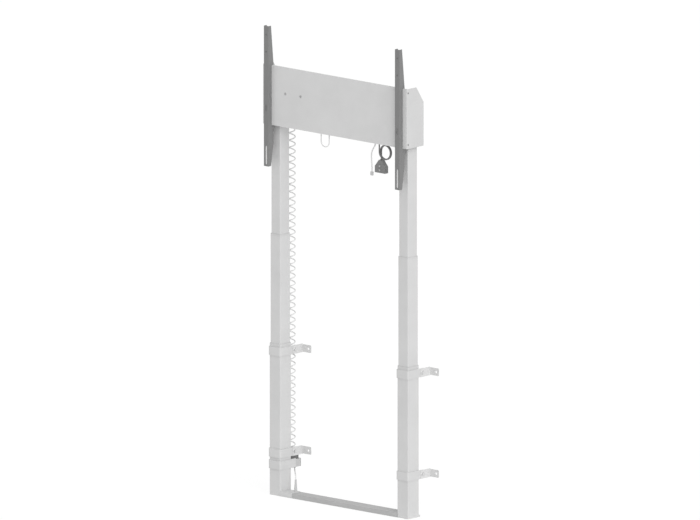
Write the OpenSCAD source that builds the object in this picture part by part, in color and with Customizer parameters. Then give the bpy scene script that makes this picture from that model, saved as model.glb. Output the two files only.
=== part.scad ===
// Motorised floor-standing lift: two telescoping columns raise a front panel with two mounting arms.
// Origin on the floor midway between the columns, front towards -Y, all sizes in millimetres.
// The model is drawn fully raised.

/* [Columns] */
// Distance between the centrelines of the two columns
column_spacing = 780; // [740:10:790]
// Width of the outer tube, side to side
outer_w = 66; // [64:1:72]
// Depth of the outer tube, front to back
outer_d = 74; // [72:1:80]
// Length of the outer tube above its foot plate
outer_len = 679; // [672:1:740]
// Corner radius of the telescoping tubes
outer_corner = 3.5; // [3:0.5:6]
// Wall of the telescoping tubes
tube_wall = 2; // [1.6:0.1:2.2]
// Gap between one tube and the next, lined by the glides
glide_gap = 0.8; // [0.7:0.1:1.2]
// Length of middle tube above the outer tube when raised
mid_reach = 512; // [480:1:540]
// Length of inner tube between the middle tube and the panel when raised
inner_reach = 521; // [480:1:540]
// Length of tube that stays inside the next one when raised
overlap = 140; // [130:1:144]
// Height of the plastic cap on the outer tube
outer_cap_h = 15; // [8:1:20]
// Height of the plastic cap on the middle tube
mid_cap_h = 10; // [6:1:16]
// Length of a glide inside the tubes
glide_len = 40; // [30:1:50]

/* [Drive] */
// Diameter of the motor
motor_dia = 46; // [36:1:50]
// Height of the motor below its gearbox
motor_h = 70; // [60:1:72]
// Side of the square gearbox
gearbox_w = 48; // [40:1:52]
// Height of the gearbox
gearbox_h = 27; // [20:1:28]
// Diameter of the output boss on the gearbox
boss_dia = 26; // [22:1:30]
// Height of the output boss
boss_h = 8; // [5:1:9]
// Diameter of the drive screw
screw_dia = 16; // [12:0.5:16]
// Outside diameter of the hollow screw
hollow_dia = 24; // [23:0.5:26]
// Wall of the hollow screw
hollow_wall = 3; // [2:0.1:3]
// Height of a screw's thrust collar
thrust_h = 8; // [6:1:9]
// Width of a thrust collar beyond its screw, on each side
thrust_w = 4; // [2:0.5:5]
// Height of a drive nut
nut_h = 40; // [30:1:44]

/* [Feet and base bar] */
// Thickness of a foot plate
foot_t = 8; // [5:0.5:9]
// Length of a foot plate behind its column
foot_tail = 10; // [4:1:24]
// Depth of the base bar, front to back
bar_d = 57; // [55:1:66]
// Height of the base bar
bar_h = 22; // [16:1:28]
// Wall of the base bar
bar_t = 2.5; // [2:0.1:4]
// Length of the cover on the base bar's left end
cover_len = 70; // [66:1:90]
// Thickness of that cover
cover_t = 1.5; // [1:0.1:2]

/* [Wall brackets] */
// Height of the lower collars' middle above the floor
collar_low_z = 196; // [194:1:240]
// Height of a collar
collar_h = 40; // [40:1:44]
// Thickness of a collar's band
collar_t = 4; // [3:0.1:5]
// Length of a collar's ears behind the tube
ear_len = 27; // [24:1:34]
// Distance of the wall from the back of the outer tube
wall_gap = 71; // [66:1:90]
// Thickness of a wall bracket
angle_t = 3; // [2:0.1:4]
// Height of a wall bracket's leg
angle_h = 40; // [36:1:44]
// Bare length of ear in front of a wall bracket
ear_bare = 7; // [4:1:10]
// Length of a wall bracket's tab
tab_len = 55; // [40:1:70]
// Distance of a tab's hole from its free end
tab_hole_in = 16; // [14:1:24]
// Height of a wall bracket's tab
tab_h = 35; // [26:1:36]
// Diameter of the wall screw hole in a tab
wall_hole_dia = 11; // [7:0.5:13]
// Thread diameter of the collar bolts
collar_bolt_dia = 8; // [5:0.5:8]

/* [Cord socket] */
// Height of the socket collar's top above the floor
socket_top = 156; // [150:1:158]
// Height of the junction box
junction_h = 36; // [32:1:40]
// Width of the junction box
junction_w = 43; // [40:1:50]
// Depth of the junction box
junction_d = 60; // [56:1:64]
// Height of the plug on the junction box
plug_h = 18; // [12:1:24]

/* [Head] */
// Width of the front panel
panel_w = 876; // [850:1:900]
// Height of the front panel
panel_h = 277; // [260:1:300]
// Distance of the panel's face in front of the inner tubes
panel_lead = 31.6; // [26:0.2:40]
// Sheet thickness of the panel and its end plates
panel_t = 2.5; // [2:0.1:3]
// Depth of the folded lips along the panel's top and bottom
lip_d = 9; // [7:0.5:10]
// Depth of an end plate behind the panel
end_d = 112.5; // [90:0.5:120]
// Length of the slope at an end plate's top rear corner
slope_d = 49; // [30:1:60]
// Height of the slope at an end plate's top rear corner
slope_h = 74; // [40:1:100]
// Width of an end plate's fixing flange
flange_w = 15; // [10:1:16]
// Width of the rails between the inner tubes and the panel
rail_w = 40; // [30:1:44]
// Side of the square cross tube
cross_w = 40; // [30:1:40]
// Diameter of the two holes in the panel
panel_hole_dia = 9; // [6:0.5:12]
// Distance between the two holes in the panel
panel_hole_gap = 93; // [70:1:120]
// Width of the control box
control_w = 400; // [390:1:420]
// Height of the control box
control_h = 110; // [70:1:140]

/* [Arms] */
// Distance between the two arms
arm_spacing = 800; // [780:10:800]
// Length of an arm
arm_len = 650; // [640:1:700]
// Width of an arm
arm_w = 28; // [26:1:34]
// Sheet thickness of an arm
arm_t = 2.5; // [2:0.1:3]
// Distance of an arm's face in front of the panel
arm_stand = 22; // [16:0.5:24]
// Depth of an arm's flanges at its hooks
arm_root_d = 35; // [35:0.5:39]
// Depth of an arm's flanges at its ends
arm_tip_d = 17.5; // [10:0.5:20]
// Length of the full-depth flange below the panel
arm_hook_len = 80; // [40:1:100]
// Length of the long slot in an arm
arm_slot_len = 88; // [60:1:100]
// Length of the short slot in an arm
short_slot_len = 30; // [20:1:50]
// Width of the slots in an arm
arm_slot_w = 10; // [7:0.5:12]
// Diameter of the round holes in an arm
arm_hole_dia = 8.5; // [6:0.5:10]

/* [Cords] */
// Diameter of the curly cord's jacket
curl_dia = 5.5; // [4:0.5:6]
// Outside diameter of the curls
curl_outer = 35; // [30:1:35]
// Number of curls
curl_count = 45; // [30:1:46]
// Diameter of the hand control's lead
hand_lead_dia = 6.5; // [5:0.5:6.5]
// Radius of the hand control lead's loops, to the middle of the lead
loop_r = 32; // [28:0.5:33]
// Number of loops in the hand control's lead
loop_turns = 2; // [2:1:2]
// Diameter of the hanging signal lead
signal_dia = 6; // [4:0.5:6]
// Diameter of the drooping link lead
link_dia = 5; // [4:0.5:6]
// Diameter of the feed lead
feed_dia = 6; // [4:0.5:6]
// Diameter of the feed sleeve at the base bar
sleeve_dia = 15; // [12:0.5:18]

/* [Hand control] */
// Width of the hand control
hand_w = 62; // [54:1:70]
// Height of the hand control
hand_h = 60; // [56:1:70]
// Depth of the hand control
hand_d = 22; // [18:1:26]
// Side of a button
button_w = 12; // [9:0.5:13]
// Height of a button above the hand control's face
button_rise = 2.5; // [2:0.1:4]

/* [Hidden] */

// Sides of the lift
left = -1;
right = 1;

// Colours
pale_grey = [0.80, 0.80, 0.80];
light_grey = [0.84, 0.84, 0.84];
mid_grey = [0.68, 0.68, 0.68];
dark_grey = [0.45, 0.45, 0.45];
black_grey = [0.30, 0.30, 0.30];
steel_grey = [0.75, 0.75, 0.77];

// Clearances: between pieces that move, between a collar and its tube, and for cutting through
run_clear = 0.3;
fit_clear = 0.2;
through = 1;

// Steps along a rounded corner, and facets of round pieces
corner_steps = 6;
$fn = 48;

// Telescoping tubes
stage_step = tube_wall + glide_gap;
mid_w = outer_w - 2 * stage_step;
mid_d = outer_d - 2 * stage_step;
inner_w = mid_w - 2 * stage_step;
inner_d = mid_d - 2 * stage_step;
outer_top = foot_t + outer_len;
mid_top = outer_top + mid_reach;
mid_bottom = outer_top - overlap;
inner_bottom = mid_top - overlap;
panel_bottom = mid_top + inner_reach;
panel_top = panel_bottom + panel_h;
column_x = column_spacing / 2;
tube_spare = 32;
inner_top = panel_top - tube_spare;

// Drive
motor_top = foot_t + motor_h + gearbox_h + boss_h;
nut_margin = 10;
screw_top = mid_bottom + nut_h + nut_margin;
hollow_bottom = mid_bottom + nut_h + run_clear;
hollow_top = mid_top - nut_margin;

// Base bar
bar_front = -outer_d / 2;
bar_len = column_spacing - outer_w;

// Collars and wall brackets, measured from a column's centreline
collar_high_z = outer_top - collar_h / 2;
collar_in_w = outer_w / 2 + fit_clear;
collar_out_w = collar_in_w + collar_t;
collar_front = -outer_d / 2 - fit_clear;
ear_end = outer_d / 2 + ear_len;
wall_y = outer_d / 2 + wall_gap;
angle_front = outer_d / 2 + ear_bare;
collar_bolt_y = (angle_front + ear_end) / 2;
tab_round = 5;
tab_hole_x = collar_out_w + tab_len - tab_hole_in;
bolt_head_w = 1.7 * collar_bolt_dia;
bolt_head_h = 0.65 * collar_bolt_dia;

// Junction box and plug
socket_lift = 6;
junction_right = collar_in_w;
junction_stand = 3;
junction_front = outer_d / 2 + junction_stand;
plug_in = 5;
plug_less_w = 13;
plug_w = junction_w - plug_less_w;
plug_less_d = 11;
plug_d = junction_d - plug_less_d;
plug_x = junction_right - plug_in - plug_w / 2;
plug_back = 6;
plug_y = junction_front + plug_back + plug_d / 2;

// Curly cord, between the plug and its anchor on the left inner tube
cord_off_x = 10;
cord_off_y = 31;
cord_y = outer_d / 2 + cord_off_y;
cord_x = -column_x + cord_off_x;
cord_bottom = socket_top + plug_h;
cord_over = 2;
cord_top = panel_bottom + cord_over;
curl_r = (curl_outer - curl_dia) / 2;
curl_rings = 8;
tube_sides = 6;
anchor_w = 40;
anchor_t = 3;
anchor_h = 50;
anchor_d = 49;

// Head
inner_front = -inner_d / 2;
panel_front = inner_front - panel_lead;
panel_back = panel_front + panel_t;
rail_rise = 20;
rail_bottom = panel_bottom + rail_rise;
rail_drop = 40;
rail_top = panel_top - rail_drop;
cross_rise = 30;
cross_bottom = panel_bottom + cross_rise;
panel_hole_x = -303;
panel_hole_rise = 155;
panel_hole_z = panel_bottom + panel_hole_rise;
control_x = 75;
control_rise = 25;
control_bottom = panel_bottom + control_rise;
control_gap = 0.5;
control_back = -cross_w / 2 - control_gap;

// Arms
arm_x = arm_spacing / 2;
arm_front = panel_front - arm_stand;
arm_drop = 190;
arm_bottom = panel_bottom - arm_drop;
arm_top = arm_bottom + arm_len;
arm_root_back = arm_front + arm_root_d;
notch_back = panel_front - run_clear;
hook_low = panel_bottom - run_clear;
hook_high = panel_top + run_clear;
tooth_front = panel_front + lip_d + run_clear;
tooth_drop = 12;
slot_margin = 8;
long_slot_z = arm_bottom + slot_margin + arm_slot_len / 2;
short_slot_rise = 270;
short_slot_z = arm_bottom + short_slot_rise;
arm_hole_drop = 40;
arm_hole_gap = 80;
arm_holes = [arm_top - arm_hole_drop, arm_top - arm_hole_drop - arm_hole_gap];

// Leads that hang from the control box: offsets along X and Z from its lower face
lead_top = control_bottom;
lead_y = -34;
lead_sides = 8;
link_route = [
    [-110, 0], [-110, -11], [-110, -22], [-110, -33], [-110, -44], [-110, -55], [-110, -65],
    [-108.1, -74.4], [-102.8, -82.3], [-94.9, -87.6], [-85.5, -89.5], [-76.1, -87.6], [-68.2, -82.3],
    [-62.9, -74.4], [-61, -65], [-61, -55], [-61, -44], [-61, -33], [-61, -22], [-61, -11], [-61, 0]
];
link_path = [for (p = link_route) [p[0], lead_y, lead_top + p[1]]];
signal_route = [
    [225, 0], [225, -10], [224.5, -20], [222.5, -30], [218.5, -40], [213, -49.5], [207, -58.5],
    [201.8, -68], [198.4, -78], [197, -88.5], [197, -99], [197.6, -110], [198.4, -121], [199.1, -132],
    [199.6, -143], [200, -154], [200, -165]
];
signal_path = [for (p = signal_route) [p[0], lead_y, lead_top + p[1]]];
signal_end = signal_path[len(signal_path) - 1];
signal_plug_w = 14;
signal_plug_d = 10;
signal_plug_h = 17;

// Feed lead: offsets from where it leaves the junction box
feed_off_x = 12;
feed_x = -column_x + feed_off_x;
feed_off_y = 47;
feed_y = outer_d / 2 + feed_off_y;
feed_z = socket_top - junction_h;
feed_route = [
    [0, 0, 0], [0, 0, -3], [0.7, -0.7, -8], [2.5, -2.6, -12.4], [5.4, -5.4, -15.5],
    [8.8, -8.9, -16.9], [18, -18.3, -18.3], [27.3, -27.6, -19.7], [36.5, -37, -21.1],
    [45.7, -46.4, -22.4], [55, -55.7, -23.8], [64.2, -65.1, -25.2], [67.6, -68.6, -26.7],
    [70.5, -71.4, -29.8], [72.3, -73.3, -34.1], [73, -74, -39.1], [73, -74, -42.1]
];
feed_path = [for (p = feed_route) [feed_x + p[0], feed_y + p[1], feed_z + p[2]]];
feed_end = feed_path[len(feed_path) - 1];
sleeve_lip = 1;
sleeve_tip_dia = feed_dia + 2 * sleeve_lip;

// Hand control's lead: straight down, round the loops, straight down to the hand control
loop_x = 277;
loop_drop = 67;
loop_gap = 0.8;
loop_pitch = hand_lead_dia + loop_gap;
loop_rings = 24;
loop_exit = 39;
loop_z = lead_top - loop_drop;
hand_y = lead_y + loop_turns * loop_pitch;
hand_x = loop_x - loop_r;
hand_top = loop_z - loop_exit;
entry_steps = 6;
hand_entry = [
    for (i = [0 : entry_steps - 1]) [hand_x, lead_y, lead_top - loop_drop * i / entry_steps]
];
hand_loops = [
    for (i = [0 : loop_turns * loop_rings])
        let (turn = i / loop_rings, a = 180 + 360 * turn)
            [loop_x + loop_r * cos(a), lead_y + loop_pitch * turn, loop_z + loop_r * sin(a)]
];
exit_steps = 4;
hand_exit = [for (i = [1 : exit_steps]) [hand_x, hand_y, loop_z - loop_exit * i / exit_steps]];
hand_path = concat(hand_entry, hand_loops, hand_exit);

// Hand control and its buttons
hand_neck_w = 14;
hand_shoulder = 30;
hand_face = hand_y - hand_d / 2;
pocket_d = 4;
press_room = 1.8;
button_deep = pocket_d - press_room;
button_space = 7;
button_gap = button_w + button_space;
button_low = 13;
down_z = hand_top - hand_h + button_low;
up_z = down_z + button_gap;

// Curly cord: straight out of the plug, curls, straight into the anchor
cord_run = cord_top - cord_bottom - 4 * curl_dia;
curl_steps = curl_count * curl_rings;
function ramp(i) = min(1, min(i, curl_steps - i) / curl_rings);
curl_path = concat(
    [[cord_x, cord_y, cord_bottom], [cord_x, cord_y, cord_bottom + curl_dia]],
    [
        for (i = [0 : curl_steps])
            let (a = 360 * i / curl_rings, r = curl_r * ramp(i))
                [
                    cord_x + r * cos(a),
                    cord_y + r * sin(a),
                    cord_bottom + 2 * curl_dia + cord_run * i / curl_steps
                ]
    ],
    [[cord_x, cord_y, cord_top - curl_dia], [cord_x, cord_y, cord_top]]
);

// Least gap of a wound tube to itself, between points at least half a turn apart
function least_gap(path, dia, half, whole) = min([
    for (i = [0 : len(path) - 1 - half])
        for (j = [i + half : min(i + whole, len(path) - 1)])
            norm(path[i] - path[j])
]) - dia;
echo(curly_cord_least_gap = least_gap(curl_path, curl_dia, curl_rings / 2, 2 * curl_rings));
echo(hand_lead_least_gap = least_gap(hand_path, hand_lead_dia, loop_rings / 2, 2 * loop_rings));

// Outline of a rectangle with round corners, centred on the origin
function rounded(w, d, r) = [
    for (c = [[1, 1, 0], [-1, 1, 90], [-1, -1, 180], [1, -1, 270]])
        for (i = [0 : corner_steps])
            let (a = c[2] + 90 * i / corner_steps)
                [c[0] * (w / 2 - r) + r * cos(a), c[1] * (d / 2 - r) + r * sin(a)]
];

// Outline of a slot with round ends, running along Y
function slot_outline(w, h) = [
    for (e = [[1, 0], [-1, 180]])
        for (i = [0 : 2 * corner_steps])
            let (a = e[1] + 180 * i / (2 * corner_steps))
                [w / 2 * cos(a), e[0] * (h - w) / 2 + w / 2 * sin(a)]
];

// Outline of a tab that starts at the origin, with round corners at its far end
function tab_outline(length, height, r) = concat(
    [[0, height / 2], [0, -height / 2]],
    [
        for (c = [[-1, 270], [1, 0]])
            for (i = [0 : corner_steps])
                let (a = c[1] + 90 * i / corner_steps)
                    [length - r + r * cos(a), c[0] * (height / 2 - r) + r * sin(a)]
    ]
);

// Tube swept along a path, with one radius for each point
function unit(v) = v / norm(v);
function heading(path, i) = unit(path[min(i + 1, len(path) - 1)] - path[max(i - 1, 0)]);
function square_to(v, t) = unit(v - (v * t) * t);
function first_normal(t) = square_to(abs(t[1]) < 0.9 ? [0, 1, 0] : [1, 0, 0], t);
function carried_normals(path) = [
    for (
        i = 0, n = first_normal(heading(path, 0));
        i < len(path);
        i = i + 1, n = square_to(n, heading(path, min(i, len(path) - 1)))
    ) n
];

module swept_tube(path, radii, sides) {
    count = len(path);
    normals = carried_normals(path);
    points = [
        for (i = [0 : count - 1])
            let (t = heading(path, i), n = normals[i], b = cross(t, n))
                for (k = [0 : sides - 1])
                    path[i] + radii[i] * (cos(360 * k / sides) * n + sin(360 * k / sides) * b)
    ];
    walls = [
        for (i = [0 : count - 2])
            for (k = [0 : sides - 1])
                let (
                    a = i * sides + k,
                    b = i * sides + (k + 1) % sides
                )
                    each [[a, b + sides, b], [a, a + sides, b + sides]]
    ];
    last = (count - 1) * sides;
    caps = [
        for (k = [1 : sides - 2])
            each [[0, k, k + 1], [last, last + k + 1, last + k]]
    ];
    polyhedron(points = points, faces = concat(walls, caps), convexity = 4);
}

module plain_tube(path, dia, sides) {
    swept_tube(path, [for (p = path) dia / 2], sides);
}

// Upright square-cornered pieces
module prism(outline, bottom, top) {
    translate([0, 0, bottom]) linear_extrude(height = top - bottom) polygon(outline);
}

module ring_prism(outside, inside, bottom, top) {
    difference() {
        prism(outside, bottom, top);
        prism(inside, bottom - through, top + through);
    }
}

module at_column(side) {
    translate([side * column_x, 0, 0]) children();
}

// Plates drawn in a plane and set upright
module plate_along_x(outline, x0, x1) {
    translate([x0, 0, 0])
        rotate([90, 0, 90])
            linear_extrude(height = x1 - x0) polygon(outline);
}

module plate_along_y(outline, y0, y1) {
    translate([0, y1, 0])
        rotate([90, 0, 0])
            linear_extrude(height = y1 - y0) polygon(outline);
}

// Rods along each axis, from one place to another
module rod_x(dia, x0, x1, y, z) {
    translate([x0, y, z]) rotate([0, 90, 0]) cylinder(d = dia, h = x1 - x0);
}

module rod_y(dia, y0, y1, x, z) {
    translate([x, y1, z]) rotate([90, 0, 0]) cylinder(d = dia, h = y1 - y0);
}

module rod_z(dia, z0, z1, x = 0, y = 0) {
    translate([x, y, z0]) cylinder(d = dia, h = z1 - z0);
}

module box(x0, x1, y0, y1, z0, z1) {
    translate([x0, y0, z0]) cube([x1 - x0, y1 - y0, z1 - z0]);
}

// Feet and base bar
module foot_plate(side) {
    color(light_grey)
        at_column(side)
            translate([0, foot_tail / 2, 0])
                linear_extrude(height = foot_t)
                    polygon(rounded(outer_w, outer_d + foot_tail, outer_corner));
}

module base_bar() {
    color(mid_grey)
        difference() {
            box(-bar_len / 2, bar_len / 2, bar_front, bar_front + bar_d, 0, bar_h);
            box(
                -bar_len / 2 - through, bar_len / 2 + through,
                bar_front + bar_t, bar_front + bar_d - bar_t, bar_t, bar_h - bar_t
            );
        }
}

// Telescoping tubes
module stage_tube(side, w, d, r, bottom, top) {
    color(pale_grey)
        at_column(side)
            ring_prism(
                rounded(w, d, r),
                rounded(w - 2 * tube_wall, d - 2 * tube_wall, r - tube_wall),
                bottom, top
            );
}

// Cap on the top of a tube: a ring on the rim and a gliding skirt inside
module tube_cap(side, w, d, r, next_w, next_d, next_r, top, cap_h) {
    bore = rounded(next_w + 2 * run_clear, next_d + 2 * run_clear, next_r + run_clear);
    color(light_grey)
        at_column(side) {
            ring_prism(rounded(w, d, r), bore, top, top + cap_h);
            ring_prism(
                rounded(w - 2 * tube_wall, d - 2 * tube_wall, r - tube_wall),
                bore, top - glide_len, top
            );
        }
}

// Slider round the bottom of a tube
module glide_slider(side, w, d, r, bottom) {
    pad = glide_gap - run_clear;
    color(light_grey)
        at_column(side)
            ring_prism(rounded(w + 2 * pad, d + 2 * pad, r + pad), rounded(w, d, r), bottom, bottom + glide_len);
}

// Nut block that fills the bottom of a tube
module drive_nut(side, w, d, r, bore, bottom) {
    color(dark_grey)
        at_column(side)
            difference() {
                prism(rounded(w - 2 * tube_wall, d - 2 * tube_wall, r - tube_wall), bottom, bottom + nut_h);
                rod_z(bore, bottom - through, bottom + nut_h + through);
            }
}

module outer_tube(side) {
    stage_tube(side, outer_w, outer_d, outer_corner, foot_t, outer_top);
}

module outer_cap(side) {
    tube_cap(side, outer_w, outer_d, outer_corner, mid_w, mid_d, outer_corner, outer_top, outer_cap_h);
}

module mid_tube(side) {
    stage_tube(side, mid_w, mid_d, outer_corner, mid_bottom, mid_top);
}

module mid_cap(side) {
    tube_cap(side, mid_w, mid_d, outer_corner, inner_w, inner_d, outer_corner, mid_top, mid_cap_h);
}

module mid_slider(side) {
    glide_slider(side, mid_w, mid_d, outer_corner, mid_bottom);
}

module mid_nut(side) {
    drive_nut(side, mid_w, mid_d, outer_corner, screw_dia + 2 * run_clear, mid_bottom);
}

module inner_tube(side) {
    stage_tube(side, inner_w, inner_d, outer_corner, inner_bottom, inner_top);
}

module inner_slider(side) {
    glide_slider(side, inner_w, inner_d, outer_corner, inner_bottom);
}

module inner_nut(side) {
    drive_nut(side, inner_w, inner_d, outer_corner, hollow_dia + 2 * run_clear, inner_bottom);
}

// Motors and screws inside the columns
module gear_motor(side) {
    color(dark_grey)
        at_column(side) {
            rod_z(motor_dia, foot_t, foot_t + motor_h);
            prism(
                rounded(gearbox_w, gearbox_w, outer_corner),
                foot_t + motor_h, foot_t + motor_h + gearbox_h
            );
            rod_z(boss_dia, motor_top - boss_h, motor_top);
        }
}

module drive_screw(side) {
    color(steel_grey)
        at_column(side) {
            rod_z(screw_dia, motor_top + run_clear, screw_top);
            rod_z(screw_dia + 2 * thrust_w, motor_top + run_clear, motor_top + run_clear + thrust_h);
        }
}

module hollow_screw(side) {
    color(steel_grey)
        at_column(side)
            difference() {
                union() {
                    rod_z(hollow_dia, hollow_bottom, hollow_top);
                    rod_z(hollow_dia + 2 * thrust_w, hollow_bottom, hollow_bottom + thrust_h);
                }
                rod_z(hollow_dia - 2 * hollow_wall, hollow_bottom - through, hollow_top + through);
            }
}

// Collar seen from above: round the front and sides of the tube, with ears running straight back
module collar_outline() {
    reach = ear_end - collar_front;
    outside = rounded(2 * collar_out_w, 2 * (reach + collar_t), outer_corner + fit_clear + collar_t);
    inside = rounded(2 * collar_in_w, 2 * reach, outer_corner + fit_clear);
    difference() {
        polygon(concat(
            [[-collar_out_w, ear_end]],
            [for (p = outside) if (p[1] < 0) p + [0, ear_end]],
            [[collar_out_w, ear_end]]
        ));
        polygon([for (p = inside) p + [0, ear_end]]);
    }
}

module collar_band(side, bottom, top) {
    at_column(side)
        translate([0, 0, bottom])
            linear_extrude(height = top - bottom) collar_outline();
}

module wall_collar(side, z) {
    color(pale_grey)
        difference() {
            collar_band(side, z - collar_h / 2, z + collar_h / 2);
            at_column(side)
                rod_x(
                    collar_bolt_dia, -collar_out_w - through, collar_out_w + through,
                    collar_bolt_y, z
                );
        }
}

// Wall bracket: a leg bolted to the ear, and a tab turned outwards against the wall
module wall_bracket(side, z) {
    leg = [
        [angle_front, z - angle_h / 2],
        [wall_y - angle_t, z - angle_h / 2],
        [wall_y, z - tab_h / 2],
        [wall_y, z + tab_h / 2],
        [wall_y - angle_t, z + angle_h / 2],
        [angle_front, z + angle_h / 2]
    ];
    tab = [for (p = tab_outline(tab_len, tab_h, tab_round)) [side * (p[0] + collar_out_w), p[1] + z]];
    leg_x = side > 0 ? collar_out_w : -collar_out_w - angle_t;
    difference() {
        union() {
            plate_along_x(leg, leg_x, leg_x + angle_t);
            plate_along_y(tab, wall_y - angle_t, wall_y);
        }
        rod_y(wall_hole_dia, wall_y - angle_t - through, wall_y + through, side * tab_hole_x, z);
        rod_x(collar_bolt_dia, leg_x - through, leg_x + angle_t + through, collar_bolt_y, z);
    }
}

module bracket_pair(side, z) {
    color(light_grey)
        at_column(side) {
            wall_bracket(left, z);
            wall_bracket(right, z);
        }
}

// Hexagon bolts through the wall brackets into the ears
module collar_bolts() {
    color(steel_grey)
        for (side = [left, right])
            for (z = [collar_low_z, collar_high_z])
                for (way = [left, right])
                    at_column(side)
                        translate([way * collar_in_w, collar_bolt_y, z])
                            rotate([0, 90 * way, 0]) {
                                cylinder(d = collar_bolt_dia, h = collar_t + angle_t);
                                translate([0, 0, collar_t + angle_t])
                                    cylinder(d = bolt_head_w, h = bolt_head_h, $fn = 6);
                            }
}

// Collar that carries the junction box on its inner ear
module socket_collar() {
    top = socket_top + socket_lift;
    color(pale_grey) collar_band(left, top - collar_h, top);
}

module junction_box() {
    color(light_grey)
        at_column(left)
            translate([junction_right - junction_w / 2, junction_front + junction_d / 2, 0])
                prism(rounded(junction_w, junction_d, tab_round / 2), feed_z, socket_top);
}

module cord_plug() {
    color(black_grey)
        at_column(left)
            translate([plug_x, plug_y, 0])
                prism(rounded(plug_w, plug_d, tab_round), socket_top, cord_bottom);
}

module feed_lead() {
    color(light_grey) plain_tube(feed_path, feed_dia, lead_sides);
}

// Cover clipped over the base bar's left end, with a round opening for the sleeve
module bar_cover() {
    end = -bar_len / 2;
    back = bar_front + bar_d;
    color(pale_grey)
        difference() {
            box(end, end + cover_len, bar_front - cover_t, back + cover_t, 0, bar_h + cover_t);
            box(end - through, end + cover_len + through, bar_front, back, -through, bar_h);
            translate([feed_end[0], feed_end[1], bar_h - through])
                cylinder(d = sleeve_dia + 2 * fit_clear, h = cover_t + 2 * through);
        }
}

module feed_sleeve() {
    color(mid_grey)
        translate([feed_end[0], feed_end[1], bar_h])
            cylinder(d1 = sleeve_dia, d2 = sleeve_tip_dia, h = feed_end[2] - bar_h);
}

module curly_cord() {
    color(light_grey) plain_tube(curl_path, curl_dia, tube_sides);
}

// Rail: a flat box section between an inner tube and the panel
module panel_rail(side) {
    color(light_grey)
        at_column(side)
            difference() {
                box(-rail_w / 2, rail_w / 2, panel_back, inner_front, rail_bottom, rail_top);
                box(
                    -rail_w / 2 + panel_t, rail_w / 2 - panel_t, panel_back + panel_t, inner_front - panel_t,
                    rail_bottom - through, rail_top + through
                );
            }
}

// Front panel: folded sheet with a lip along its top and bottom, and two round holes
module front_panel() {
    lip_w = panel_w / 2 - panel_t;
    color(pale_grey)
        difference() {
            union() {
                box(-panel_w / 2, panel_w / 2, panel_front, panel_back, panel_bottom, panel_top);
                for (z = [panel_bottom, panel_top - panel_t])
                    box(-lip_w, lip_w, panel_front, panel_front + lip_d, z, z + panel_t);
            }
            for (x = [panel_hole_x, panel_hole_x + panel_hole_gap])
                rod_y(panel_hole_dia, panel_front - through, panel_back + through, x, panel_hole_z);
        }
}

// End plate with a sloped top rear corner and a fixing flange on the panel's back
module end_plate(side) {
    back = panel_back + end_d;
    plate = [
        [panel_back, panel_bottom],
        [back, panel_bottom],
        [back, panel_top - slope_h],
        [back - slope_d, panel_top],
        [panel_back, panel_top]
    ];
    outside = panel_w / 2;
    color(light_grey)
        mirror([side < 0 ? 1 : 0, 0, 0]) {
            plate_along_x(plate, outside - panel_t, outside);
            box(
                outside - flange_w, outside - panel_t, panel_back, panel_back + panel_t,
                panel_bottom + panel_t, panel_top - panel_t
            );
        }
}

module cross_tube() {
    half = column_x - inner_w / 2;
    color(light_grey)
        difference() {
            box(-half, half, -cross_w / 2, cross_w / 2, cross_bottom, cross_bottom + cross_w);
            box(
                -half - through, half + through, -cross_w / 2 + panel_t, cross_w / 2 - panel_t,
                cross_bottom + panel_t, cross_bottom + cross_w - panel_t
            );
        }
}

// Control box on the back of the panel
module control_box() {
    color(mid_grey)
        plate_along_y(
            [
                for (p = rounded(control_w, control_h, tab_round))
                    p + [control_x, control_bottom + control_h / 2]
            ],
            panel_back, control_back
        );
}

// Bracket on the left inner tube that holds the top of the curly cord
module cord_anchor() {
    color(light_grey)
        translate([cord_x - anchor_w / 2, inner_d / 2, cord_top]) {
            cube([anchor_w, anchor_t, anchor_h]);
            cube([anchor_w, anchor_d, anchor_t]);
        }
}

// Leads below the panel
module link_lead() {
    color(light_grey) plain_tube(link_path, link_dia, lead_sides);
}

module signal_lead() {
    color(light_grey) plain_tube(signal_path, signal_dia, lead_sides);
}

module signal_plug() {
    color(mid_grey)
        translate([signal_end[0], signal_end[1], 0])
            prism(
                rounded(signal_plug_w, signal_plug_d, signal_plug_d / 4),
                signal_end[2] - signal_plug_h, signal_end[2]
            );
}

module hand_lead() {
    color(dark_grey) plain_tube(hand_path, hand_lead_dia, tube_sides);
}

// Hand control: a block with sloping shoulders and a pocket for each button
module hand_control() {
    bottom = hand_top - hand_h;
    shoulder = hand_top - hand_shoulder;
    outline = [
        [-hand_w / 2, bottom],
        [hand_w / 2, bottom],
        [hand_w / 2, shoulder],
        [hand_neck_w / 2, hand_top],
        [-hand_neck_w / 2, hand_top],
        [-hand_w / 2, shoulder]
    ];
    pocket_w = button_w + 2 * run_clear;
    color(dark_grey)
        difference() {
            translate([hand_x, 0, 0]) plate_along_y(outline, hand_face, hand_face + hand_d);
            for (z = [up_z, down_z])
                plate_along_y(
                    [for (p = rounded(pocket_w, pocket_w, tab_round / 2)) p + [hand_x, z]],
                    hand_face - through, hand_face + pocket_d
                );
        }
}

module hand_button(z) {
    color(mid_grey)
        plate_along_y(
            [for (p = rounded(button_w, button_w, tab_round / 2)) p + [hand_x, z]],
            hand_face - button_rise, hand_face + button_deep
        );
}

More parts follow.
